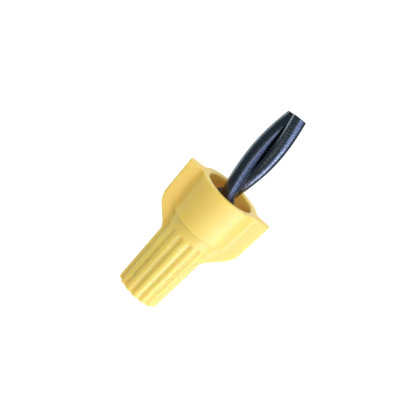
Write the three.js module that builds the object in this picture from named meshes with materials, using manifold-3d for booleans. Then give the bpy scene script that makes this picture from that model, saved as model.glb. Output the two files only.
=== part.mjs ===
// A winged twist-on wire connector, screwed down on a pair of stranded building wires.
// Millimetres. +Z runs from the closed end of the connector to its mouth, and the wings lie along X.
// The origin is the centre of the flat closed end, on which the connector stands.

import * as THREE from "three";
import { mergeVertices } from "three/addons/utils/BufferGeometryUtils.js";
import Module from "manifold-3d";

const wasm = await Module();
wasm.setup();

// ---- Driving dimensions -------------------------------------------------------------------

// Shell: a fluted grip, a smooth neck, a step out to the skirt, and the skirt up to the rim.
const SHELL_LENGTH = 26.4;
const GRIP_END_RADIUS = 4.5;
const GRIP_TOP_RADIUS = 5.2;
const GRIP_TOP_Z = 15.2;
const END_EDGE_RADIUS = 0.35;
const NECK_TOP_RADIUS = 5.5;
const SHOULDER_Z = 17.3;
const SHOULDER_EDGE_RADIUS = 0.35;
const SKIRT_LOWER_RADIUS = 6.05;
const RIM_RADIUS = 6.6;
const RIM_OUTER_EDGE = 0.15;
const RIM_INNER_EDGE = 0.3;

// Flutes: round-bottomed grooves between broad ribs, each ending in a half round below the neck.
const FLUTE_COUNT = 14;
const FLUTE_DEPTH = 0.43;
const FLUTE_NARROWING = 1.6;
const FLUTE_TURN_DEG = -3;
const FLUTE_STRAIGHT_TO_Z = 14.5;

// Inside of the shell, from the closed end to the mouth.
const END_WALL = 1.9;
const BORE_END_RADIUS = 3.5;
const BORE_TOP_RADIUS = 4.0;
const BORE_TOP_Z = 14.3;
const LIP_RADIUS = 3.6;
const LIP_HEIGHT = 0.5;
const SKIRT_FLOOR_Z = 17.4;
const SKIRT_FLOOR_RADIUS = 4.6;
const MOUTH_RADIUS = 5.1;

// Wings: two swept blades, flush with the rim, half a turn apart. Each has a flat back face and
// a front face that slopes towards the root, and both run into the body with a hollow fillet.
const WING_TIP_TOP_RADIUS = 9.75;
const WING_TIP_LOW_RADIUS = 9.2;
const WING_CORNER_Z = 17.6;
const WING_CORNER_DROP = 1.3;
const WING_SLOPE = 1.0;
const WING_FOOT_Z = 13.05;
const WING_BACK = 0.93;
const WING_TIP_FRONT = 0.85;
const WING_FRONT_SLOPE = 0.27;
const WING_EDGE_RADIUS = 0.42;
const WING_FILLET = 1.0;

// Facets round the shell, drawn closer together at the wings.
const SHELL_SEGMENTS = 112;
const SEGMENT_CROWDING = 0.5;

// Spring: square wire on its edge, wound as a right-handed cone that narrows to the closed end.
const SPRING_WIRE = 0.8;
const SPRING_PITCH = 1.25;
const SPRING_BOTTOM_Z = 2.6;
const SPRING_TURNS = 9;
const SPRING_END_INNER_RADIUS = 2.05;
const SPRING_TOP_INNER_RADIUS = 2.7;
const SPRING_STEPS_PER_TURN = 14;

// Wires: a pair twisted left-handed, loosely outside the mouth and tightly inside it.
const WIRE_RADIUS = 1.45;
const SHEATH_THICKNESS = 0.1;
const INSULATION_RADIUS = 1.33;
const INSULATION_BORE_RADIUS = 0.98;
const COPPER_TIP_Z = 2.6;
const STRIP_Z = 15.5;
const CUT_Z = 45.7;
const CUT_TILT_BACK_DEG = 15.9;
const CUT_TILT_SIDE_DEG = 3.7;
const PAIR_ANGLE_AT_RIM_DEG = -100.7;
const OUTER_TWIST_DEG_PER_MM = 8.0;
const INNER_TWIST_DEG_PER_MM = 30;
const TIGHTEN_START_Z = 26.3;
const TIGHTEN_END_Z = 25.3;
const OUTER_PAIR_OFFSET = 1.47;
const INNER_PAIR_OFFSET = 1.52;
const BARE_PAIR_OFFSET = 0.96;
const BARE_PAIR_Z = 12.4;
const LEAN_START_Z = 21.0;
const LEAN_FULL_Z = 25.0;
const LEAN_DEG = 1.65;
const WIRE_SIDES = 10;

// Copper: one core strand with six laid round it.
const STRAND_RADIUS = 0.27;
const STRAND_CIRCLE_RADIUS = 0.59;
const STRAND_LAY_DEG_PER_MM = 5;
const OUTER_STRANDS = 6;
const STRAND_SIDES = 5;

// Along a wire, the twist is tight below the rim and loose above it, and so are the steps.
const BARE_STEPS = 14;
const INNER_STEPS = 18;
const OUTER_STEPS = 10;

// ---- Small helpers ------------------------------------------------------------------------

const radians = THREE.MathUtils.degToRad;
const blend = THREE.MathUtils.lerp;
const smooth = THREE.MathUtils.smoothstep;
const at = (x, y) => new THREE.Vector2(x, y);

// A closed geometry as a solid for cutting and joining.
function solidOf(geometry) {
  const bare = new THREE.BufferGeometry();
  bare.setAttribute("position", geometry.getAttribute("position"));
  if (geometry.index) bare.setIndex(geometry.index);
  const merged = mergeVertices(bare, 1e-5);
  return new wasm.Manifold(
    new wasm.Mesh({
      numProp: 3,
      vertProperties: new Float32Array(merged.getAttribute("position").array),
      triVerts: new Uint32Array(merged.index.array),
    }),
  );
}

// A cut solid back as a geometry.
function geometryOf(solid) {
  const mesh = solid.getMesh();
  const geometry = new THREE.BufferGeometry();
  geometry.setAttribute("position", new THREE.BufferAttribute(mesh.vertProperties, 3));
  geometry.setIndex(new THREE.BufferAttribute(mesh.triVerts, 1));
  return geometry;
}

function material(color, roughness, metalness) {
  return new THREE.MeshStandardMaterial({ color, roughness, metalness });
}

const group = new THREE.Group();

function addPiece(name, geometry, look) {
  const mesh = new THREE.Mesh(geometry, look);
  mesh.name = name;
  group.add(mesh);
}

// ---- Shell --------------------------------------------------------------------------------

// The radius of the grip, neck and skirt at a height, before flutes and wings. The skirt's lower
// edge is rounded as a quarter circle.
function bodyRadius(z) {
  if (z <= GRIP_TOP_Z) return blend(GRIP_END_RADIUS, GRIP_TOP_RADIUS, z / GRIP_TOP_Z);
  if (z <= SHOULDER_Z) {
    const up = (z - GRIP_TOP_Z) / (SHOULDER_Z - GRIP_TOP_Z);
    return blend(GRIP_TOP_RADIUS, NECK_TOP_RADIUS, up);
  }
  const up = (z - SHOULDER_Z) / (SHELL_LENGTH - SHOULDER_Z);
  const toRound = Math.max(0, 1 - (z - SHOULDER_Z) / SHOULDER_EDGE_RADIUS);
  const rounding = SHOULDER_EDGE_RADIUS * (1 - Math.sqrt(1 - toRound ** 2));
  return blend(SKIRT_LOWER_RADIUS, RIM_RADIUS, up) - rounding;
}

// How far a flute presses the grip in at an angle and a height. Above its straight part, what
// counts is the distance from where that part ended.
function fluteDepth(angle, z) {
  const pitch = (2 * Math.PI) / FLUTE_COUNT;
  const turned = angle - radians(FLUTE_TURN_DEG);
  const beside = turned - pitch * Math.round(turned / pitch);
  const above = Math.max(0, z - FLUTE_STRAIGHT_TO_Z) / GRIP_TOP_RADIUS;
  const away = Math.min(Math.hypot(beside, above), pitch / 2);
  const valley = (1 + Math.cos(FLUTE_COUNT * away)) / 2;
  return FLUTE_DEPTH * valley ** FLUTE_NARROWING;
}

// How far the wings reach out at a height: a slope up from the grip, a rounded lower corner and
// a drafted tip up to the rim.
function wingReach(z) {
  const draft = (WING_TIP_TOP_RADIUS - WING_TIP_LOW_RADIUS) / (SHELL_LENGTH - WING_CORNER_Z);
  const tip = WING_TIP_LOW_RADIUS + draft * (z - WING_CORNER_Z);
  const slope = bodyRadius(WING_FOOT_Z) + (z - WING_FOOT_Z) * WING_SLOPE;
  return smoothLesser(tip, slope, WING_CORNER_DROP);
}

// The lesser of two numbers, rounded off where they are within a span of each other.
function smoothLesser(a, b, span) {
  const overlap = Math.max(0, span - Math.abs(a - b));
  return Math.min(a, b) - overlap ** 2 / (4 * span);
}

// How far a point is outside the nearer wing, seen from the mouth. Inside it is negative.
function outsideWing(x, y, reach) {
  const towardsTip = Math.abs(x);
  const towardsBack = x < 0 ? -y : y;
  const front = WING_TIP_FRONT + WING_FRONT_SLOPE * Math.max(0, WING_TIP_TOP_RADIUS - towardsTip);
  const middle = (WING_BACK - front) / 2;
  const halfWidth = (WING_BACK + front) / 2;
  const pastSide = Math.abs(towardsBack - middle) - halfWidth + WING_EDGE_RADIUS;
  const pastTip = towardsTip - reach + WING_EDGE_RADIUS;
  const corner = Math.hypot(Math.max(0, pastSide), Math.max(0, pastTip));
  return corner + Math.min(0, Math.max(pastSide, pastTip)) - WING_EDGE_RADIUS;
}

// The shell's outer radius at an angle and a height, found by halving: the body and the wings
// joined with a fillet.
function outerRadius(angle, z) {
  const body = bodyRadius(z) - fluteDepth(angle, z);
  const reach = wingReach(z);
  const outside = (radius) =>
    smoothLesser(
      radius - body,
      outsideWing(radius * Math.cos(angle), radius * Math.sin(angle), reach),
      WING_FILLET,
    );
  let inner = body * 0.95;
  let outer = WING_TIP_TOP_RADIUS + 1;
  for (let halvings = 0; halvings < 30; halvings++) {
    const middle = (inner + outer) / 2;
    if (outside(middle) < 0) inner = middle;
    else outer = middle;
  }
  return inner;
}

// Rows of the outside, from the closed end to the rim. Each is a height and how far the surface
// is drawn in there to round off an edge.
function outerRows() {
  const edge = END_EDGE_RADIUS;
  const wingStart = WING_FOOT_Z - 0.6;
  const wingRows = 13;
  const upWing = Array.from({ length: wingRows }, (_, i) =>
    blend(wingStart, SHOULDER_Z, i / (wingRows - 1)),
  );
  const overShoulder = [0.2, 0.5, 1, 4].map((part) => SHOULDER_Z + part * SHOULDER_EDGE_RADIUS);
  return [
    { z: 0, inset: edge },
    { z: 0.3 * edge, inset: 0.3 * edge },
    { z: edge, inset: 0 },
    { z: wingStart / 2, inset: 0 },
    ...upWing.map((z) => ({ z, inset: 0 })),
    ...overShoulder.map((z) => ({ z, inset: 0 })),
    { z: SHELL_LENGTH - RIM_OUTER_EDGE, inset: 0 },
    { z: SHELL_LENGTH, inset: RIM_OUTER_EDGE },
  ];
}

// The inside, from the rim to the middle of the end wall: open skirt, funnel, retaining lip and
// spring bore.
function innerProfile() {
  return [
    at(MOUTH_RADIUS + RIM_INNER_EDGE, SHELL_LENGTH),
    at(MOUTH_RADIUS, SHELL_LENGTH - RIM_INNER_EDGE),
    at(SKIRT_FLOOR_RADIUS, SKIRT_FLOOR_Z),
    at(LIP_RADIUS, BORE_TOP_Z + LIP_HEIGHT),
    at(LIP_RADIUS, BORE_TOP_Z + LIP_HEIGHT / 2),
    at(BORE_TOP_RADIUS, BORE_TOP_Z),
    at(BORE_END_RADIUS, END_WALL),
    at(0, END_WALL),
  ];
}

// Turns the whole section about Z, then moves each outer point out or in to its true radius.
function buildShell() {
  const rows = outerRows();
  const section = [at(0, 0), ...rows.map(({ z }) => at(bodyRadius(z), z)), ...innerProfile()];
  const geometry = new THREE.LatheGeometry(section, SHELL_SEGMENTS).rotateX(Math.PI / 2);
  const points = geometry.getAttribute("position");
  for (let i = 0; i < points.count; i++) {
    const column = Math.floor(i / section.length) % SHELL_SEGMENTS;
    const even = (2 * Math.PI * column) / SHELL_SEGMENTS - Math.PI / 2;
    const angle = even - (SEGMENT_CROWDING / 2) * Math.sin(2 * even);
    const place = i % section.length;
    const row = rows[place - 1];
    const radius = row ? outerRadius(angle, row.z) - row.inset : section[place].x;
    points.setXY(i, radius * Math.cos(angle), radius * Math.sin(angle));
  }
  addPiece("shell", geometry, material("#eac65c", 0.42, 0));
}

// ---- Curves with frames of their own ------------------------------------------------------

// A curve whose cross-section is carried along without turning about the curve.
class CarriedCurve extends THREE.Curve {
  // Steps follow t itself, so that a curve can take closer steps where it bends more.
  getUtoTmapping(u) {
    return u;
  }

  // The direction of the section's first corner, given the one at the step before.
  cornerAt(t, before) {
    return before;
  }

  computeFrenetFrames(segments) {
    const frames = { tangents: [], normals: [], binormals: [] };
    let corner = new THREE.Vector3(1, 0, 0);
    for (let i = 0; i <= segments; i++) {
      const tangent = this.getTangent(i / segments);
      corner = this.cornerAt(i / segments, corner).clone();
      corner.addScaledVector(tangent, -corner.dot(tangent)).normalize();
      frames.tangents.push(tangent);
      frames.normals.push(corner);
      frames.binormals.push(tangent.clone().cross(corner));
    }
    return frames;
  }
}

function sweep(shape, path, steps) {
  return new THREE.ExtrudeGeometry(shape, {
    steps,
    extrudePath: path,
    bevelEnabled: false,
    curveSegments: 1,
  });
}

function regularPolygon(radius, sides, Outline = THREE.Shape) {
  const corners = Array.from({ length: sides }, (_, i) => {
    const angle = (2 * Math.PI * i) / sides;
    return at(radius * Math.cos(angle), radius * Math.sin(angle));
  });
  return new Outline(corners);
}

function ring(outerRadius, innerRadius, sides) {
  const outline = regularPolygon(outerRadius, sides);
  outline.holes.push(regularPolygon(innerRadius, sides, THREE.Path));
  return outline;
}

// ---- Spring -------------------------------------------------------------------------------

class SpringLine extends CarriedCurve {
  getPoint(t) {
    const halfDiagonal = SPRING_WIRE / Math.SQRT2;
    const inner = blend(SPRING_END_INNER_RADIUS, SPRING_TOP_INNER_RADIUS, t);
    const radius = inner + halfDiagonal;
    const angle = 2 * Math.PI * SPRING_TURNS * t;
    const z = SPRING_BOTTOM_Z + SPRING_PITCH * SPRING_TURNS * t;
    return new THREE.Vector3(radius * Math.cos(angle), radius * Math.sin(angle), z);
  }

  // One corner always faces away from the spring's axis.
  cornerAt(t) {
    const angle = 2 * Math.PI * SPRING_TURNS * t;
    return new THREE.Vector3(Math.cos(angle), Math.sin(angle), 0);
  }
}

function buildSpring() {
  const squareOnEdge = regularPolygon(SPRING_WIRE / Math.SQRT2, 4);
  const steps = SPRING_TURNS * SPRING_STEPS_PER_TURN;
  const geometry = sweep(squareOnEdge, new SpringLine(), steps);
  addPiece("spring", geometry, material("#b9bcc0", 0.35, 1));
}

// ---- Wires --------------------------------------------------------------------------------

// The angle of the front wire round the pair's own axis. It falls as z rises: a left-handed twist.
function pairAngle(z) {
  const loose = OUTER_TWIST_DEG_PER_MM * (SHELL_LENGTH - z);
  const span = TIGHTEN_START_Z - TIGHTEN_END_Z;
  const below = Math.max(0, TIGHTEN_START_Z - z);
  const tightened = below < span ? below ** 2 / (2 * span) : below - span / 2;
  const extra = (INNER_TWIST_DEG_PER_MM - OUTER_TWIST_DEG_PER_MM) * tightened;
  return radians(PAIR_ANGLE_AT_RIM_DEG + loose + extra);
}

// The distance from the pair's axis to the middle of each wire.
function pairOffset(z) {
  const insulated = blend(INNER_PAIR_OFFSET, OUTER_PAIR_OFFSET, smooth(z, 22, TIGHTEN_START_Z));
  return blend(BARE_PAIR_OFFSET, insulated, smooth(z, BARE_PAIR_Z, STRIP_Z));
}

// How far the pair leans towards -X above the throat of the connector.
function lean(z) {
  const span = LEAN_FULL_Z - LEAN_START_Z;
  const above = Math.max(0, z - LEAN_START_Z);
  const leaned = above < span ? above ** 2 / (2 * span) : above - span / 2;
  return -Math.tan(radians(LEAN_DEG)) * leaned;
}

// Heights up a wire. Whole stretches share their steps, so that nested layers stay nested.
const OVERRUN_Z = CUT_Z + 2.5;
const STRETCHES = [
  { from: COPPER_TIP_Z, to: STRIP_Z, steps: BARE_STEPS },
  { from: STRIP_Z, to: SHELL_LENGTH, steps: INNER_STEPS },
  { from: SHELL_LENGTH, to: OVERRUN_Z, steps: OUTER_STEPS },
];

function stepsOf(stretches) {
  return stretches.reduce((sum, stretch) => sum + stretch.steps, 0);
}

// The middle line of one wire, or of one strand at a radius and angle inside that wire.
class WireLine extends CarriedCurve {
  constructor(turn, stretches, strandRadius = 0, strandAngle = 0) {
    super();
    this.turn = turn;
    this.stretches = stretches;
    this.strandRadius = strandRadius;
    this.strandAngle = strandAngle;
  }

  heightAt(t) {
    let step = t * stepsOf(this.stretches);
    for (const { from, to, steps } of this.stretches) {
      if (step <= steps || to === OVERRUN_Z) return blend(from, to, step / steps);
      step -= steps;
    }
  }

  outwardAt(z) {
    const angle = pairAngle(z) + this.turn;
    return new THREE.Vector3(Math.cos(angle), Math.sin(angle), 0);
  }

  middleAt(z) {
    return this.outwardAt(z).multiplyScalar(pairOffset(z)).add(new THREE.Vector3(lean(z), 0, z));
  }

  getPoint(t) {
    const z = this.heightAt(t);
    const point = this.middleAt(z);
    if (this.strandRadius === 0) return point;
    const ahead = this.middleAt(z + 0.01).sub(this.middleAt(z - 0.01)).normalize();
    const outward = this.outwardAt(z);
    outward.addScaledVector(ahead, -outward.dot(ahead)).normalize();
    const sideways = ahead.clone().cross(outward);
    const lay = this.strandAngle - radians(STRAND_LAY_DEG_PER_MM) * z;
    point.addScaledVector(outward, this.strandRadius * Math.cos(lay));
    return point.addScaledVector(sideways, this.strandRadius * Math.sin(lay));
  }
}

// The block above the slanted snip that ended both wires at once.
function snipBlock() {
  const size = 16;
  const block = new THREE.BoxGeometry(size, size, size).translate(0, 0, size / 2);
  block.rotateX(-radians(CUT_TILT_BACK_DEG)).rotateY(-radians(CUT_TILT_SIDE_DEG));
  return solidOf(block.translate(lean(CUT_Z), 0, CUT_Z));
}

const aboveSnip = snipBlock();

function addSnipped(name, shape, path, look) {
  const whole = solidOf(sweep(shape, path, stepsOf(path.stretches)));
  addPiece(name, geometryOf(whole.subtract(aboveSnip)), look);
}

function buildWire(name, turn) {
  const jacketed = STRETCHES.slice(1);
  const sheath = ring(WIRE_RADIUS, WIRE_RADIUS - SHEATH_THICKNESS, WIRE_SIDES);
  const insulation = ring(INSULATION_RADIUS, INSULATION_BORE_RADIUS, WIRE_SIDES);
  const jacketLine = new WireLine(turn, jacketed);
  addSnipped(`${name}_nylon_sheath`, sheath, jacketLine, material("#2b3647", 0.28, 0));
  addSnipped(`${name}_insulation`, insulation, jacketLine, material("#1f2226", 0.55, 0));

  const copper = material("#c77b4a", 0.3, 1);
  const strand = regularPolygon(STRAND_RADIUS, STRAND_SIDES);
  addSnipped(`${name}_core_strand`, strand, new WireLine(turn, STRETCHES), copper);
  for (let i = 0; i < OUTER_STRANDS; i++) {
    const angle = (2 * Math.PI * i) / OUTER_STRANDS;
    const line = new WireLine(turn, STRETCHES, STRAND_CIRCLE_RADIUS, angle);
    addSnipped(`${name}_strand_${i + 1}`, strand, line, copper);
  }
}

// ---- Assembly -----------------------------------------------------------------------------

buildShell();
buildSpring();
buildWire("front_wire", 0);
buildWire("rear_wire", Math.PI);

export default group;
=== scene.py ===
"""A winged twist-on wire connector on a twisted pair of insulated wires, dressed round its CAD frame.

Shapes are worked out in millimetres, in the part's own frame: +Z runs from the closed end of the
connector to its mouth and the wings lie along X. add_piece turns them into metres.
"""
import math

import bmesh
import bpy
import numpy as np
from mathutils import Matrix, Vector


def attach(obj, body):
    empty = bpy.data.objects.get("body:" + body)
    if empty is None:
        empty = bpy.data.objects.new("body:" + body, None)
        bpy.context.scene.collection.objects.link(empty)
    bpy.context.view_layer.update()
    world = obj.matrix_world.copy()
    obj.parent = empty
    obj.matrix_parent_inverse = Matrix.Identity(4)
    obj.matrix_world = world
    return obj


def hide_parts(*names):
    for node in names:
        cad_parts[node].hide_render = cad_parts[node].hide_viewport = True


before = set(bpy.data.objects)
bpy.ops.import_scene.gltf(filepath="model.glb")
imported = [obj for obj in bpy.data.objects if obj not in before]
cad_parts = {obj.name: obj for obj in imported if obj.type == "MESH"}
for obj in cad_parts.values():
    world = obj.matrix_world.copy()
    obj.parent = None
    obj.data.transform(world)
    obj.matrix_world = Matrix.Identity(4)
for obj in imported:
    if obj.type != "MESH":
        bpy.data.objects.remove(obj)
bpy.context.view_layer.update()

MM = 0.001

# ---- Driving dimensions, millimetres and degrees ----------------------------------------------

# Shell: a fluted grip, a smooth neck, a step out to the skirt, and the skirt up to the rim. The rim
# stands a little above the tops of the wings, which rise slightly towards it.
SHELL_LENGTH = 26.4
GRIP_END_RADIUS = 4.5
GRIP_TOP_RADIUS = 5.2
GRIP_TOP_Z = 15.2
END_EDGE_RADIUS = 0.35
NECK_TOP_RADIUS = 5.5
SHOULDER_Z = 17.3
SHOULDER_EDGE_RADIUS = 0.35
SKIRT_LOWER_RADIUS = 6.05
RIM_RADIUS = 6.6
RIM_OUTER_EDGE = 0.05
RIM_INNER_EDGE = 0.3
RIM_ABOVE_WINGS = 0.07
WING_TOP_RISE = 0.01

# Flutes: round-bottomed grooves between broad ribs, each ending in a half round below the neck.
FLUTE_COUNT = 14
FLUTE_DEPTH = 0.43
FLUTE_NARROWING = 1.6
FLUTE_TURN = math.radians(-3)
FLUTE_STRAIGHT_TO_Z = 14.5

# Inside of the shell, from the closed end to the mouth.
END_WALL = 1.9
BORE_END_RADIUS = 3.5
BORE_TOP_RADIUS = 4.0
BORE_TOP_Z = 14.3
LIP_RADIUS = 3.6
LIP_HEIGHT = 0.5
SKIRT_FLOOR_Z = 17.4
SKIRT_FLOOR_RADIUS = 4.6
MOUTH_RADIUS = 5.1

# Wings: two swept blades, half a turn apart. Each has a flat back face and a front face that slopes
# towards the root, and both run into the body with a hollow fillet.
WING_TIP_TOP_RADIUS = 9.75
WING_TIP_LOW_RADIUS = 9.2
WING_CORNER_Z = 17.6
WING_CORNER_DROP = 1.3
WING_SLOPE = 1.0
WING_FOOT_Z = 13.05
WING_BACK = 0.93
WING_TIP_FRONT = 0.85
WING_FRONT_SLOPE = 0.27
WING_EDGE_RADIUS = 0.42
WING_FILLET = 1.0

# Spring: square wire on its edge, wound as a right-handed cone that narrows to the closed end.
SPRING_WIRE = 0.8
SPRING_CORNER_RADIUS = 0.1
SPRING_PITCH = 1.25
SPRING_BOTTOM_Z = 2.6
SPRING_TURNS = 9
SPRING_END_INNER_RADIUS = 2.05
SPRING_TOP_INNER_RADIUS = 2.7

# Wires: a pair twisted left-handed, loosely outside the mouth and tightly inside it.
SHEATH_RADIUS = 1.469
SHEATH_BORE_RADIUS = 1.355
INSULATION_RADIUS = 1.345
INSULATION_BORE_RADIUS = 0.93
COPPER_TIP_Z = 2.6
STRIP_Z = 15.5
CUT_Z = 45.7
CUT_TILT_BACK = math.radians(15.9)
CUT_TILT_SIDE = math.radians(3.7)
CUT_EASE = 4.0
PAIR_ANGLE_AT_RIM = math.radians(-100.7)
OUTER_TWIST = math.radians(8.0)
INNER_TWIST = math.radians(30)
TIGHTEN_START_Z = 26.3
TIGHTEN_END_Z = 25.3
PAIR_CLOSES_FROM_Z = 22.0
OUTER_PAIR_OFFSET = 1.47
INNER_PAIR_OFFSET = 1.52
BARE_PAIR_OFFSET = 0.96
BARE_PAIR_Z = 12.4
LEAN_START_Z = 21.0
LEAN_FULL_Z = 25.0
LEAN = math.radians(1.65)

# Copper: one core strand with six laid round it, all touching.
STRAND_RADIUS = 0.295
STRAND_CIRCLE_RADIUS = 0.59
STRAND_LAY = math.radians(5)
OUTER_STRANDS = 6

# How far below the snip each piece of a wire ends. The outer strands differ a little.
SHEATH_SET_BACK = 0.02
INSULATION_SET_BACK = 0.05
CORE_STRAND_SET_BACK = 0.03
OUTER_STRAND_SET_BACK = 0.04
OUTER_STRAND_SET_BACK_STEP = 0.03

# How finely the meshes are divided.
SHELL_COLUMNS = 456
SPRING_STEPS_PER_TURN = 48
JACKET_SIDES = 40
STRAND_SIDES = 16
ROUTE_STEP = 0.1
SWEEP_STEP = 0.25
ROUTE_PAST_SNIP = 2.5

# How the picture is framed: where the middle of the rim appears, right of and above the middle
# of the picture, and how the connector's axis leans.
CAMERA_AZIMUTH = math.radians(-5.7)
CAMERA_ELEVATION = math.radians(15.5)
CAMERA_ROLL = math.radians(43.6)
CAMERA_DISTANCE = 600.0
PICTURE_WIDTH = 78.2
RIM_RIGHT_OF_MIDDLE = 3.86
RIM_ABOVE_MIDDLE = 3.23

# Light. Lamps stand at one distance and face the middle of the connector. The surroundings have one
# colour for the matt light on the connector, one for its gloss and one for the eye.
LAMP_DISTANCE = 300.0
LAMP_AIM_Z = 22.0
AMBIENT = (0.49, 0.50, 0.47, 1)
AMBIENT_IN_GLOSS = (0.14, 0.20, 0.25, 1)
AMBIENT_SEEN = (1.05, 1.05, 1.05, 1)
FLOOR_GLOW = 1.05
FLOOR_REACH = 3000

# The colour sockets of a Mix node. Its number sockets have the same names, so these go by place.
MIX_LOW = 6
MIX_HIGH = 7
MIX_RESULT = 2

# ---- Small helpers ----------------------------------------------------------------------------


def blend(start, end, part):
    return start + (end - start) * part


def smooth(value, start, end):
    """0 before start, 1 after end, with an S-shaped rise between."""
    part = np.clip((value - start) / (end - start), 0, 1)
    return part * part * (3 - 2 * part)


def smooth_lesser(a, b, span):
    """The lesser of two numbers, rounded off where they are within a span of each other."""
    overlap = np.maximum(0, span - np.abs(a - b))
    return np.minimum(a, b) - overlap**2 / (4 * span)


def unit(vectors):
    return vectors / np.linalg.norm(vectors, axis=-1, keepdims=True)


def band_faces(rows, columns, joined_ends=False):
    """Quads between neighbouring rows of points, where each row closes on itself."""
    row = np.arange(rows if joined_ends else rows - 1)[:, None]
    above = (row + 1) % rows
    here = np.arange(columns)[None, :]
    beside = (here + 1) % columns
    corners = [(row, here), (row, beside), (above, beside), (above, here)]
    return np.stack([r * columns + c for r, c in corners], axis=-1).reshape(-1, 4)


def fan_faces(ring_start, columns, middle):
    """Triangles from one closed row to a middle point."""
    here = np.arange(columns)
    beside = (here + 1) % columns
    centre = np.full(columns, middle)
    return np.stack([ring_start + here, ring_start + beside, centre], axis=-1)


def add_piece(name, body, points, faces, material, sharp_degrees=35, place=None):
    """A smooth mesh piece that rides on a body and stands for the CAD node of the same name.

    place holds the points' positions along and round a wire laid straight, for its material.
    """
    mesh = bpy.data.meshes.new(name)
    mesh.from_pydata((np.asarray(points) * MM).tolist(), [], [f.tolist() for f in faces])
    if place is not None:
        laid_out = mesh.attributes.new("laid_out", "FLOAT_VECTOR", "POINT")
        laid_out.data.foreach_set("vector", (np.asarray(place) * MM).ravel())
    worked = bmesh.new()
    worked.from_mesh(mesh)
    bmesh.ops.recalc_face_normals(worked, faces=worked.faces)
    worked.to_mesh(mesh)
    worked.free()
    mesh.shade_smooth()
    mesh.set_sharp_from_angle(angle=math.radians(sharp_degrees))
    mesh.materials.append(material)
    piece = bpy.data.objects.new(f"{name}_finished", mesh)
    bpy.context.scene.collection.objects.link(piece)
    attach(piece, body)
    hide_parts(name)


# ---- Camera -----------------------------------------------------------------------------------


def picture_axes():
    """The picture's own directions, before it is rolled: right, up and back towards the eye."""
    sin_a, cos_a = math.sin(CAMERA_AZIMUTH), math.cos(CAMERA_AZIMUTH)
    sin_e, cos_e = math.sin(CAMERA_ELEVATION), math.cos(CAMERA_ELEVATION)
    right = Vector((cos_a, sin_a, 0))
    up = Vector((-sin_a * sin_e, cos_a * sin_e, cos_e))
    return right, up, right.cross(up)


def add_camera():
    right, up, back = picture_axes()
    rolled_right = right * math.cos(CAMERA_ROLL) + up * math.sin(CAMERA_ROLL)
    rolled_up = up * math.cos(CAMERA_ROLL) - right * math.sin(CAMERA_ROLL)
    rim_middle = Vector((0, 0, SHELL_LENGTH))
    aim = rim_middle - rolled_right * RIM_RIGHT_OF_MIDDLE - rolled_up * RIM_ABOVE_MIDDLE
    lens = bpy.data.cameras.new("camera")
    lens.sensor_width = 36
    lens.lens = lens.sensor_width * CAMERA_DISTANCE / PICTURE_WIDTH
    lens.clip_start = 0.01
    lens.clip_end = 10
    camera = bpy.data.objects.new("camera", lens)
    turned = Matrix((rolled_right, rolled_up, back)).transposed().to_4x4()
    camera.matrix_world = Matrix.Translation((aim + back * CAMERA_DISTANCE) * MM) @ turned
    bpy.context.scene.collection.objects.link(camera)
    bpy.context.scene.camera = camera


# ---- Materials --------------------------------------------------------------------------------


class Shader:
    """A material's node tree round one Principled surface, filled a node at a time."""

    def __init__(self, name):
        self.material = bpy.data.materials.new(name)
        self.material.use_nodes = True
        self.tree = self.material.node_tree
        self.surface = self.tree.nodes["Principled BSDF"]

    def feed(self, node, socket, value):
        """Links another node's output to a socket, or sets the socket to a plain value."""
        if isinstance(value, bpy.types.NodeSocket):
            self.tree.links.new(value, node.inputs[socket])
        else:
            node.inputs[socket].default_value = value

    def set_surface(self, **values):
        for socket, value in values.items():
            self.feed(self.surface, socket.replace("_", " "), value)

    def node(self, kind, inputs, **settings):
        node = self.tree.nodes.new(f"ShaderNode{kind}")
        for setting, value in settings.items():
            setattr(node, setting, value)
        for socket, value in inputs.items():
            self.feed(node, socket, value)
        return node

    def where(self, stretch=(1, 1, 1), laid_out=False):
        """Positions on the piece in metres, or along and round a wire laid straight."""
        if laid_out:
            source = self.node("Attribute", {}, attribute_name="laid_out").outputs["Vector"]
        else:
            source = self.node("TexCoord", {}).outputs["Object"]
        return self.node("Mapping", {"Vector": source, "Scale": stretch}).outputs["Vector"]

    def noise(self, where, size_mm, detail=2, roughness=0.5):
        """Cloudy noise whose blotches are about size_mm across."""
        inputs = {"Vector": where, "Scale": 1 / (size_mm * MM), "Detail": detail}
        inputs["Roughness"] = roughness
        return self.node("TexNoise", inputs).outputs["Fac"]

    def spread(self, value, low, high, new_low=0.0, new_high=1.0):
        inputs = {"Value": value, "From Min": low, "From Max": high}
        inputs.update({"To Min": new_low, "To Max": new_high})
        return self.node("MapRange", inputs).outputs["Result"]

    def sum(self, *terms):
        total = terms[0]
        for term in terms[1:]:
            total = self.combine("ADD", total, term)
        return total

    def combine(self, operation, a, b):
        return self.node("Math", {0: a, 1: b}, operation=operation).outputs["Value"]

    def mix(self, part, low, high):
        """A colour between low and high."""
        node = self.node("Mix", {"Factor": part}, data_type="RGBA")
        self.feed(node, MIX_LOW, low)
        self.feed(node, MIX_HIGH, high)
        return node.outputs[MIX_RESULT]

    def bump(self, height, depth_mm, below=None):
        inputs = {"Height": height, "Distance": depth_mm * MM, "Strength": 1.0}
        if below is not None:
            inputs["Normal"] = below
        return self.node("Bump", inputs).outputs["Normal"]


def opaque(red, green, blue):
    return (red, green, blue, 1.0)


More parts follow.
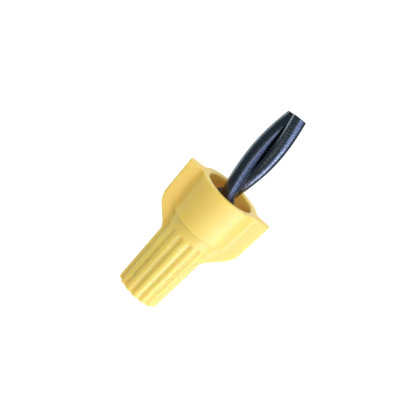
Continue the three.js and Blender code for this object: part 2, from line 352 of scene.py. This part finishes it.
def shell_plastic():
    """Yellow moulded plastic: satin, a little cloudy, paler in scattered worn patches, fine-grained."""
    shader = Shader("shell_plastic")
    where = shader.where()
    cloud = shader.noise(where, 6, detail=3)
    base = shader.mix(
        shader.spread(cloud, 0.35, 0.65), opaque(0.82, 0.56, 0.11), opaque(0.86, 0.60, 0.13)
    )
    rubbed = shader.noise(shader.where(stretch=(1, 1, 0.5)), 0.9, detail=5, roughness=0.65)
    coloured = shader.mix(
        shader.spread(rubbed, 0.55, 0.8, 0.0, 0.6), base, opaque(0.86, 0.65, 0.20)
    )
    grain = shader.noise(where, 0.16, detail=3, roughness=0.6)
    flow = shader.noise(shader.where(stretch=(1, 1, 0.35)), 1.6, detail=2)
    scuffs = shader.noise(shader.where(stretch=(1, 1, 0.12)), 0.22, detail=4, roughness=0.7)
    gloss = shader.sum(
        shader.spread(cloud, 0.3, 0.7, 0.40, 0.48),
        shader.spread(scuffs, 0.45, 0.75, 0.0, 0.12),
    )
    shader.set_surface(
        Base_Color=coloured,
        Roughness=gloss,
        IOR=1.5,
        Subsurface_Weight=0.65,
        Subsurface_Scale=0.003,
        Subsurface_Radius=(1.0, 0.6, 0.15),
        Normal=shader.bump(grain, 0.006, shader.bump(flow, 0.03)),
    )
    return shader.material


def nylon_sheath():
    """Clear nylon over black: dark navy, glossy, finely rippled round and streaked along."""
    shader = Shader("nylon_sheath")
    streaks = shader.noise(shader.where((1, 1, 0.08), laid_out=True), 0.28, detail=3)
    ripples = shader.noise(shader.where((0.5, 0.5, 1.6), laid_out=True), 0.5, detail=3)
    grain = shader.noise(shader.where(laid_out=True), 0.12, detail=2)
    tone = shader.mix(
        shader.spread(streaks, 0.35, 0.65), opaque(0.001, 0.002, 0.003), opaque(0.001, 0.004, 0.008)
    )
    height = shader.sum(
        ripples,
        shader.combine("MULTIPLY", streaks, 0.35),
        shader.combine("MULTIPLY", grain, 0.15),
    )
    wavy = shader.bump(height, 0.075)
    shader.set_surface(
        Base_Color=tone,
        Roughness=shader.spread(ripples, 0.3, 0.7, 0.18, 0.30),
        IOR=1.6,
        Specular_Tint=opaque(0.85, 0.93, 1.0),
        Coat_Weight=1.0,
        Coat_IOR=1.6,
        Coat_Roughness=0.24,
        Coat_Normal=wavy,
        Normal=wavy,
    )
    return shader.material


def wire_insulation():
    """Black vinyl: nearly matte, with faint drawing lines along the wire."""
    shader = Shader("wire_insulation")
    lines = shader.noise(shader.where((1, 1, 0.05), laid_out=True), 0.2, detail=3)
    grain = shader.noise(shader.where(laid_out=True), 0.08, detail=3)
    shader.set_surface(
        Base_Color=shader.mix(lines, opaque(0.006, 0.006, 0.007), opaque(0.022, 0.023, 0.026)),
        Roughness=shader.spread(grain, 0.3, 0.7, 0.5, 0.65),
        IOR=1.52,
        Normal=shader.bump(shader.sum(lines, grain), 0.01),
    )
    return shader.material


def drawn_copper():
    """Bare copper: bright, with drawing lines along the strand and a patchy tarnish."""
    shader = Shader("copper_strand")
    lines = shader.noise(shader.where((1, 1, 0.03), laid_out=True), 0.05, detail=3)
    tarnish = shader.noise(shader.where((1, 1, 0.4), laid_out=True), 0.9, detail=4, roughness=0.6)
    shader.set_surface(
        Base_Color=shader.mix(
            shader.spread(tarnish, 0.4, 0.68), opaque(0.86, 0.42, 0.24), opaque(0.52, 0.22, 0.12)
        ),
        Metallic=1.0,
        Roughness=shader.sum(
            shader.spread(tarnish, 0.3, 0.7, 0.16, 0.34), shader.spread(lines, 0.3, 0.7, 0.0, 0.1)
        ),
        Normal=shader.bump(lines, 0.008),
    )
    return shader.material


def zinc_plate():
    """Zinc-plated spring steel: pale, a little cloudy, with drawing lines along the wire."""
    shader = Shader("spring_steel")
    lines = shader.noise(shader.where((1, 1, 0.03), laid_out=True), 0.08, detail=3)
    cloud = shader.noise(shader.where(laid_out=True), 0.8, detail=4)
    shader.set_surface(
        Base_Color=shader.mix(
            shader.spread(cloud, 0.35, 0.65), opaque(0.55, 0.56, 0.58), opaque(0.72, 0.72, 0.70)
        ),
        Metallic=1.0,
        Roughness=shader.sum(
            shader.spread(cloud, 0.3, 0.7, 0.24, 0.36), shader.spread(lines, 0.3, 0.7, 0.0, 0.1)
        ),
        Normal=shader.bump(lines, 0.01),
    )
    return shader.material


# ---- Shell ------------------------------------------------------------------------------------


def body_radius(z):
    """The radius of the grip, neck and skirt at a height, before flutes and wings."""
    grip = blend(GRIP_END_RADIUS, GRIP_TOP_RADIUS, z / GRIP_TOP_Z)
    up_neck = (z - GRIP_TOP_Z) / (SHOULDER_Z - GRIP_TOP_Z)
    neck = blend(GRIP_TOP_RADIUS, NECK_TOP_RADIUS, up_neck)
    up_skirt = (z - SHOULDER_Z) / (SHELL_LENGTH - SHOULDER_Z)
    to_round = np.clip(1 - (z - SHOULDER_Z) / SHOULDER_EDGE_RADIUS, 0, 1)
    rounding = SHOULDER_EDGE_RADIUS * (1 - np.sqrt(1 - to_round**2))
    skirt = blend(SKIRT_LOWER_RADIUS, RIM_RADIUS, up_skirt) - rounding
    return np.where(z <= GRIP_TOP_Z, grip, np.where(z <= SHOULDER_Z, neck, skirt))


def flute_depth(angle, z):
    """How far a flute presses the grip in at an angle and a height.

    Above its straight part, what counts is the distance from where that part ended.
    """
    pitch = 2 * np.pi / FLUTE_COUNT
    turned = angle - FLUTE_TURN
    beside = turned - pitch * np.round(turned / pitch)
    above = np.maximum(0, z - FLUTE_STRAIGHT_TO_Z) / GRIP_TOP_RADIUS
    away = np.minimum(np.hypot(beside, above), pitch / 2)
    valley = (1 + np.cos(FLUTE_COUNT * away)) / 2
    return FLUTE_DEPTH * valley**FLUTE_NARROWING


def wing_reach(z):
    """How far the wings reach out at a height: a slope, a rounded corner and a drafted tip."""
    draft = (WING_TIP_TOP_RADIUS - WING_TIP_LOW_RADIUS) / (SHELL_LENGTH - WING_CORNER_Z)
    tip = WING_TIP_LOW_RADIUS + draft * (z - WING_CORNER_Z)
    slope = body_radius(WING_FOOT_Z) + (z - WING_FOOT_Z) * WING_SLOPE
    return smooth_lesser(tip, slope, WING_CORNER_DROP)


def outside_wing(x, y, reach):
    """How far a point is outside the nearer wing, seen from the mouth. Inside it is negative."""
    towards_tip = np.abs(x)
    towards_back = np.where(x < 0, -y, y)
    front = WING_TIP_FRONT + WING_FRONT_SLOPE * np.maximum(0, WING_TIP_TOP_RADIUS - towards_tip)
    middle = (WING_BACK - front) / 2
    half_width = (WING_BACK + front) / 2
    past_side = np.abs(towards_back - middle) - half_width + WING_EDGE_RADIUS
    past_tip = towards_tip - reach + WING_EDGE_RADIUS
    corner = np.hypot(np.maximum(0, past_side), np.maximum(0, past_tip))
    return corner + np.minimum(0, np.maximum(past_side, past_tip)) - WING_EDGE_RADIUS


def outer_radius(angle, z):
    """The shell's outer radius, found by halving: body and wings joined with a fillet."""
    body = body_radius(z) - flute_depth(angle, z)
    reach = wing_reach(z)
    inner = body * 0.95
    outer = np.full_like(body, WING_TIP_TOP_RADIUS + 1)
    for _ in range(30):
        middle = (inner + outer) / 2
        from_wing = outside_wing(middle * np.cos(angle), middle * np.sin(angle), reach)
        inside = smooth_lesser(middle - body, from_wing, WING_FILLET) < 0
        inner = np.where(inside, middle, inner)
        outer = np.where(inside, outer, middle)
    return inner


def shell_angles(count):
    """Angles that space points evenly along the outline of the rim and wings."""
    fine = np.linspace(0, 2 * np.pi, 20 * count + 1)
    radius = outer_radius(fine, np.full_like(fine, SHELL_LENGTH))
    steps = np.hypot(np.diff(radius * np.cos(fine)), np.diff(radius * np.sin(fine)))
    travelled = np.concatenate([[0], np.cumsum(steps)])
    return np.interp(np.linspace(0, travelled[-1], count, endpoint=False), travelled, fine)


def quarter_round(radius, count):
    """(fall, inset) pairs round a convex edge, from its side face to its end face."""
    turn = np.linspace(0, np.pi / 2, count)
    return [(radius * (1 - math.sin(t)), radius * (1 - math.cos(t))) for t in turn]


def shell_outside(angles):
    """Rows of outer radii and heights, from the closed end to the rim."""
    end_edge = list(reversed(quarter_round(END_EDGE_RADIUS, 7)))
    wing_start = WING_FOOT_Z - 1
    wing_top = SHELL_LENGTH - RIM_ABOVE_WINGS
    shoulder = SHOULDER_Z + SHOULDER_EDGE_RADIUS * np.linspace(0, 1, 10) ** 2
    sides = np.concatenate(
        [
            np.linspace(END_EDGE_RADIUS, wing_start, 36)[1:],
            np.linspace(wing_start, SHOULDER_Z, 52)[1:],
            shoulder[1:],
            np.linspace(SHOULDER_Z + SHOULDER_EDGE_RADIUS, wing_top - RIM_OUTER_EDGE, 44)[1:-1],
        ]
    )
    rows = end_edge + [(z, 0) for z in sides]
    outline = [(outer_radius(angles, np.full_like(angles, z)) - inset, z) for z, inset in rows]
    return outline + wing_tops(angles, wing_top) + rim_ring(angles)


def wing_tops(angles, top):
    """Rows round the wings' upper edges and in across their tops to the foot of the rim."""
    body = body_radius(np.full_like(angles, top))
    wings = outer_radius(angles, np.full_like(angles, top))
    edge = quarter_round(RIM_OUTER_EDGE, 5)
    rows = [(np.maximum(wings - inset, body), top - fall) for fall, inset in edge]
    across = np.linspace(0, 1, 5)[1:]
    return rows + [(blend(rows[-1][0], body, part), top + WING_TOP_RISE * part) for part in across]


def rim_ring(angles):
    """Rows up the rim, which stands a little above the wings, and round its outer edge."""
    edge = [(SHELL_LENGTH - fall, inset) for fall, inset in quarter_round(RIM_OUTER_EDGE, 5)]
    return [(body_radius(np.full_like(angles, z)) - inset, z) for z, inset in edge]


def shell_inside(angles):
    """Rows of inner radii and heights, from the rim to the middle of the end wall."""
    edge = [
        (MOUTH_RADIUS + inset, SHELL_LENGTH - fall)
        for fall, inset in reversed(quarter_round(RIM_INNER_EDGE, 7))
    ]
    corners = [
        ((MOUTH_RADIUS, SHELL_LENGTH - RIM_INNER_EDGE), 0),
        ((SKIRT_FLOOR_RADIUS, SKIRT_FLOOR_Z), 16),
        ((LIP_RADIUS, BORE_TOP_Z + LIP_HEIGHT), 8),
        ((LIP_RADIUS, BORE_TOP_Z + LIP_HEIGHT / 2), 1),
        ((BORE_TOP_RADIUS, BORE_TOP_Z), 1),
        ((BORE_END_RADIUS, END_WALL), 8),
        ((BORE_END_RADIUS * 0.1, END_WALL), 3),
    ]
    wall = []
    for (before, _), (after, steps) in zip(corners, corners[1:]):
        parts = np.arange(1, steps + 1) / steps
        wall += [(blend(before[0], after[0], p), blend(before[1], after[1], p)) for p in parts]
    return [(np.full_like(angles, radius), z) for radius, z in edge + wall]


def build_shell(material):
    angles = shell_angles(SHELL_COLUMNS)
    outside = shell_outside(angles)
    inside = shell_inside(angles)
    end_radii = outside[0][0]
    end_face = [(end_radii * part, 0.0) for part in (0.05, 0.3, 0.55, 0.8)]
    rim_outer, rim_inner = outside[-1][0], inside[0][0]
    rim_face = [(blend(rim_outer, rim_inner, p), SHELL_LENGTH) for p in np.arange(1, 6) / 6]
    rows = end_face + outside + rim_face + inside
    grid = [
        np.stack([radii * np.cos(angles), radii * np.sin(angles), np.full(SHELL_COLUMNS, z)], axis=-1)
        for radii, z in rows
    ]
    points = np.concatenate(grid + [[[0, 0, 0]], [[0, 0, END_WALL]]])
    last_row = (len(rows) - 1) * SHELL_COLUMNS
    faces = [
        *band_faces(len(rows), SHELL_COLUMNS),
        *fan_faces(0, SHELL_COLUMNS, len(points) - 2),
        *fan_faces(last_row, SHELL_COLUMNS, len(points) - 1),
    ]
    add_piece("shell", "connector", points, faces, material)


# ---- Tubes along a route ----------------------------------------------------------------------


class Route:
    """A line through space, with a frame carried along it without turning about it."""

    def __init__(self, points):
        self.points = points
        self.ahead = unit(np.gradient(points, axis=0))
        self.side = np.empty_like(points)
        side = np.array([1.0, 0.0, 0.0])
        for i, ahead in enumerate(self.ahead):
            side = unit(side - ahead * (side @ ahead))
            self.side[i] = side
        self.up = np.cross(self.ahead, self.side)
        lengths = np.linalg.norm(np.diff(points, axis=0), axis=1)
        self.travelled = np.concatenate([[0], np.cumsum(lengths)])

    def at(self, travel, across, aloft):
        """Points at given travels along the route, offset in its carried frame."""
        columns = [
            [np.interp(travel, self.travelled, field[:, k]) for k in range(3)]
            for field in (self.points, self.side, self.up)
        ]
        middle, side, up = (np.stack(column, axis=-1) for column in columns)
        return middle + side * across[..., None] + up * aloft[..., None]


def snip_distance(points):
    """How far points are above the slanted snip that ended both wires at once."""
    normal = np.array([0.0, math.sin(CUT_TILT_BACK), math.cos(CUT_TILT_BACK)])
    turn = np.array(
        [
            [math.cos(CUT_TILT_SIDE), 0, -math.sin(CUT_TILT_SIDE)],
            [0, 1, 0],
            [math.sin(CUT_TILT_SIDE), 0, math.cos(CUT_TILT_SIDE)],
        ]
    )
    return (points - np.array([lean(CUT_Z), 0, CUT_Z])) @ (turn @ normal)


def sweep(route, section, travels, below_snip=0.0):
    """A closed section swept along a route and cut off along the snip, or just below it.

    Returns the points in rows, and where each would be if the route were laid straight.
    """
    across, aloft = section[:, 0], section[:, 1]
    cut = np.full(len(section), travels[-1])
    for _ in range(6):
        cut = cut - snip_distance(route.at(cut, across, aloft)) - below_snip
    straight = travels[-1]
    weight = smooth(travels, straight - CUT_EASE, straight)
    travel = travels[:, None] + weight[:, None] * (cut - straight)[None, :]
    points = route.at(travel, across[None, :], aloft[None, :])
    place = np.stack(
        [np.broadcast_to(across, travel.shape), np.broadcast_to(aloft, travel.shape), travel],
        axis=-1,
    )
    return points, place


def circle(radius, sides):
    turn = np.arange(sides) * 2 * np.pi / sides
    return np.stack([radius * np.cos(turn), radius * np.sin(turn)], axis=-1)


# ---- Spring -----------------------------------------------------------------------------------


def rounded_square(side, corner_radius, corner_steps=3):
    """A square standing on one corner, with its corners rounded."""
    reach = side / 2 - corner_radius
    points = []
    for quarter in range(4):
        middle_turn = np.pi / 4 + quarter * np.pi / 2
        middle = reach * math.sqrt(2) * np.array([math.cos(middle_turn), math.sin(middle_turn)])
        for part in np.linspace(-1, 1, corner_steps):
            turn = middle_turn + part * np.pi / 4
            points.append(middle + corner_radius * np.array([math.cos(turn), math.sin(turn)]))
    quarter_turn = np.array([[1, 1], [-1, 1]]) / math.sqrt(2)
    return np.array(points) @ quarter_turn


def build_spring(material):
    count = SPRING_TURNS * SPRING_STEPS_PER_TURN + 1
    part = np.linspace(0, 1, count)
    turn = 2 * np.pi * SPRING_TURNS * part
    half_diagonal = SPRING_WIRE / math.sqrt(2)
    radius = blend(SPRING_END_INNER_RADIUS, SPRING_TOP_INNER_RADIUS, part) + half_diagonal
    z = SPRING_BOTTOM_Z + SPRING_PITCH * SPRING_TURNS * part
    line = np.stack([radius * np.cos(turn), radius * np.sin(turn), z], axis=-1)
    ahead = unit(np.gradient(line, axis=0))
    outward = np.stack([np.cos(turn), np.sin(turn), np.zeros(count)], axis=-1)
    outward = unit(outward - ahead * np.sum(outward * ahead, axis=1, keepdims=True))
    upward = np.cross(ahead, outward)
    section = rounded_square(SPRING_WIRE, SPRING_CORNER_RADIUS)
    points = (
        line[:, None, :]
        + outward[:, None, :] * section[None, :, 0, None]
        + upward[:, None, :] * section[None, :, 1, None]
    )
    travelled = np.concatenate([[0], np.cumsum(np.linalg.norm(np.diff(line, axis=0), axis=1))])
    place = np.empty_like(points)
    place[..., :2] = section[None, :, :]
    place[..., 2] = travelled[:, None]
    sides = len(section)
    last = (count - 1) * sides
    ends = [np.arange(sides), last + np.arange(sides)]
    faces = [*band_faces(count, sides), *ends]
    add_piece(
        "spring",
        "spring",
        points.reshape(-1, 3),
        faces,
        material,
        place=place.reshape(-1, 3),
    )


# ---- Wires ------------------------------------------------------------------------------------


def pair_angle(z):
    """The angle of the front wire round the pair's own axis. It falls as z rises."""
    span = TIGHTEN_START_Z - TIGHTEN_END_Z
    below = np.maximum(0, TIGHTEN_START_Z - z)
    tightened = np.where(below < span, below**2 / (2 * span), below - span / 2)
    loose = OUTER_TWIST * (SHELL_LENGTH - z)
    return PAIR_ANGLE_AT_RIM + loose + (INNER_TWIST - OUTER_TWIST) * tightened


def pair_offset(z):
    """The distance from the pair's axis to the middle of each wire."""
    insulated = blend(INNER_PAIR_OFFSET, OUTER_PAIR_OFFSET, smooth(z, PAIR_CLOSES_FROM_Z, TIGHTEN_START_Z))
    return blend(BARE_PAIR_OFFSET, insulated, smooth(z, BARE_PAIR_Z, STRIP_Z))


def lean(z):
    """How far the pair leans along X above the throat of the connector."""
    span = LEAN_FULL_Z - LEAN_START_Z
    above = np.maximum(0, z - LEAN_START_Z)
    leaned = np.where(above < span, above**2 / (2 * span), above - span / 2)
    return -math.tan(LEAN) * leaned


def outward_at(z, turn):
    angle = pair_angle(z) + turn
    return np.stack([np.cos(angle), np.sin(angle), np.zeros_like(z)], axis=-1)


def wire_middle(z, turn):
    axis = np.stack([lean(z), np.zeros_like(z), z], axis=-1)
    return axis + outward_at(z, turn) * pair_offset(z)[:, None]


def strand_middle(z, turn, strand_angle):
    """The middle line of one outer strand, which winds round the wire's own middle."""
    ahead = unit(wire_middle(z + 0.01, turn) - wire_middle(z - 0.01, turn))
    outward = outward_at(z, turn)
    outward = unit(outward - ahead * np.sum(outward * ahead, axis=1, keepdims=True))
    sideways = np.cross(ahead, outward)
    lay = (strand_angle - STRAND_LAY * z)[:, None]
    around = outward * np.cos(lay) + sideways * np.sin(lay)
    return wire_middle(z, turn) + STRAND_CIRCLE_RADIUS * around


def route_heights(start_z):
    """Heights from a start to past the snip."""
    end_z = CUT_Z + ROUTE_PAST_SNIP
    return np.linspace(start_z, end_z, int((end_z - start_z) / ROUTE_STEP))


def travels_to_snip(route):
    """Even travels along a route up to where its middle line meets the snip."""
    above = snip_distance(route.points)
    length = np.interp(0, above, route.travelled)
    return np.linspace(0, length, int(length / SWEEP_STEP))


def add_swept(node, points, place, faces, material):
    flat = points.reshape(-1, 3)
    add_piece(node, "wires", flat, faces, material, place=place.reshape(-1, 3))


def build_jacket(node, turn, radius, bore_radius, below_snip, material):
    """A layer of a wire's covering, bored through and cut flat at each end."""
    route = Route(wire_middle(route_heights(STRIP_Z), turn))
    travels = travels_to_snip(route)
    skin, skin_place = sweep(route, circle(radius, JACKET_SIDES), travels, below_snip)
    bore, bore_place = sweep(route, circle(bore_radius, JACKET_SIDES), travels, below_snip)
    points = np.concatenate([skin, bore[::-1]])
    place = np.concatenate([skin_place, bore_place[::-1]])
    faces = band_faces(len(points), JACKET_SIDES, joined_ends=True)
    add_swept(node, points, place, faces, material)


def build_strand(node, line, below_snip, material):
    """One round copper strand, cut flat at each end."""
    route = Route(line)
    section = circle(STRAND_RADIUS, STRAND_SIDES)
    points, place = sweep(route, section, travels_to_snip(route), below_snip)
    first_ring = np.arange(STRAND_SIDES)
    last_ring = (len(points) - 1) * STRAND_SIDES + first_ring
    faces = [*band_faces(len(points), STRAND_SIDES), first_ring, last_ring]
    add_swept(node, points, place, faces, material)


def build_wire(name, turn, sheath_material, insulation_material, copper):
    build_jacket(
        f"{name}_nylon_sheath",
        turn,
        SHEATH_RADIUS,
        SHEATH_BORE_RADIUS,
        SHEATH_SET_BACK,
        sheath_material,
    )
    build_jacket(
        f"{name}_insulation",
        turn,
        INSULATION_RADIUS,
        INSULATION_BORE_RADIUS,
        INSULATION_SET_BACK,
        insulation_material,
    )
    heights = route_heights(COPPER_TIP_Z)
    core = wire_middle(heights, turn)
    build_strand(f"{name}_core_strand", core, CORE_STRAND_SET_BACK, copper)
    for i in range(OUTER_STRANDS):
        line = strand_middle(heights, turn, i * 2 * np.pi / OUTER_STRANDS)
        set_back = OUTER_STRAND_SET_BACK + OUTER_STRAND_SET_BACK_STEP * (i % 3)
        build_strand(f"{name}_strand_{i + 1}", line, set_back, copper)


# ---- Floor and light --------------------------------------------------------------------------


def add_floor():
    """A plain white floor at the closed end, which neither shades the connector nor is mirrored."""
    reach = FLOOR_REACH * MM
    mesh = bpy.data.meshes.new("floor")
    corners = [(-reach, -reach, 0), (reach, -reach, 0), (reach, reach, 0), (-reach, reach, 0)]
    mesh.from_pydata(corners, [], [(0, 1, 2, 3)])
    floor = bpy.data.objects.new("floor", mesh)
    bpy.context.scene.collection.objects.link(floor)
    floor.visible_diffuse = False
    floor.visible_glossy = False
    floor.visible_shadow = False
    shader = Shader("floor")
    shader.set_surface(
        Base_Color=opaque(0.1, 0.1, 0.1),
        Roughness=0.9,
        Emission_Color=opaque(1, 1, 1),
        Emission_Strength=FLOOR_GLOW,
    )
    mesh.materials.append(shader.material)


def add_softbox(name, right, up, back, width, height, power, colour=(1, 1, 1)):
    """A rectangular lamp that faces the connector from a direction in the unrolled picture."""
    axes = picture_axes()
    direction = sum((axis * part for axis, part in zip(axes, (right, up, back))), Vector())
    direction.normalize()
    lamp = bpy.data.lights.new(name, "AREA")
    lamp.shape = "RECTANGLE"
    lamp.size = width * MM
    lamp.size_y = height * MM
    lamp.energy = power
    lamp.color = colour
    holder = bpy.data.objects.new(name, lamp)
    middle = Vector((0, 0, LAMP_AIM_Z))
    holder.location = (middle + direction * LAMP_DISTANCE) * MM
    holder.rotation_mode = "QUATERNION"
    holder.rotation_quaternion = direction.to_track_quat("Z", "Y")
    bpy.context.scene.collection.objects.link(holder)


def add_daylight():
    """White surroundings for the eye, dimmer and cooler ones for the light on the connector."""
    world = bpy.data.worlds.new("surroundings")
    bpy.context.scene.world = world
    world.use_nodes = True
    tree = world.node_tree
    ray = tree.nodes.new("ShaderNodeLightPath")
    diffuse_or_gloss = tree.nodes.new("ShaderNodeMix")
    diffuse_or_gloss.data_type = "RGBA"
    diffuse_or_gloss.inputs[MIX_LOW].default_value = AMBIENT
    diffuse_or_gloss.inputs[MIX_HIGH].default_value = AMBIENT_IN_GLOSS
    tree.links.new(ray.outputs["Is Glossy Ray"], diffuse_or_gloss.inputs["Factor"])
    lit_or_seen = tree.nodes.new("ShaderNodeMix")
    lit_or_seen.data_type = "RGBA"
    lit_or_seen.inputs[MIX_HIGH].default_value = AMBIENT_SEEN
    tree.links.new(ray.outputs["Is Camera Ray"], lit_or_seen.inputs["Factor"])
    tree.links.new(diffuse_or_gloss.outputs[MIX_RESULT], lit_or_seen.inputs[MIX_LOW])
    tree.links.new(lit_or_seen.outputs[MIX_RESULT], tree.nodes["Background"].inputs["Color"])


def light_scene():
    bpy.context.scene.view_settings.view_transform = "Standard"
    add_daylight()
    add_softbox("key_light", 0.86, -0.32, 0.39, 300, 220, 0.31, colour=(0.78, 1.0, 2.10))
    add_softbox("top_light", 0.15, 0.62, 0.76, 240, 160, 0.46)
    add_softbox("low_light", 0.83, -0.55, 0.02, 100, 160, 0.38, colour=(0.88, 1.0, 1.25))
    add_softbox("front_light", 0.53, -0.19, 0.83, 160, 240, 0.22, colour=(0.86, 1.0, 1.40))
    add_softbox("edge_light", -0.84, -0.15, -0.50, 240, 300, 0.25, colour=(0.85, 1.0, 1.1))
    add_softbox("bounce_light", -0.25, -0.92, 0.20, 240, 200, 0.20, colour=(1.0, 1.0, 0.95))
    add_softbox("back_light", 0.0, 0.515, -0.857, 300, 160, 0.25)


# ---- The scene --------------------------------------------------------------------------------

add_camera()
light_scene()
add_floor()
build_shell(shell_plastic())
build_spring(zinc_plate())
wire_materials = (nylon_sheath(), wire_insulation(), drawn_copper())
build_wire("front_wire", 0.0, *wire_materials)
build_wire("rear_wire", math.pi, *wire_materials)
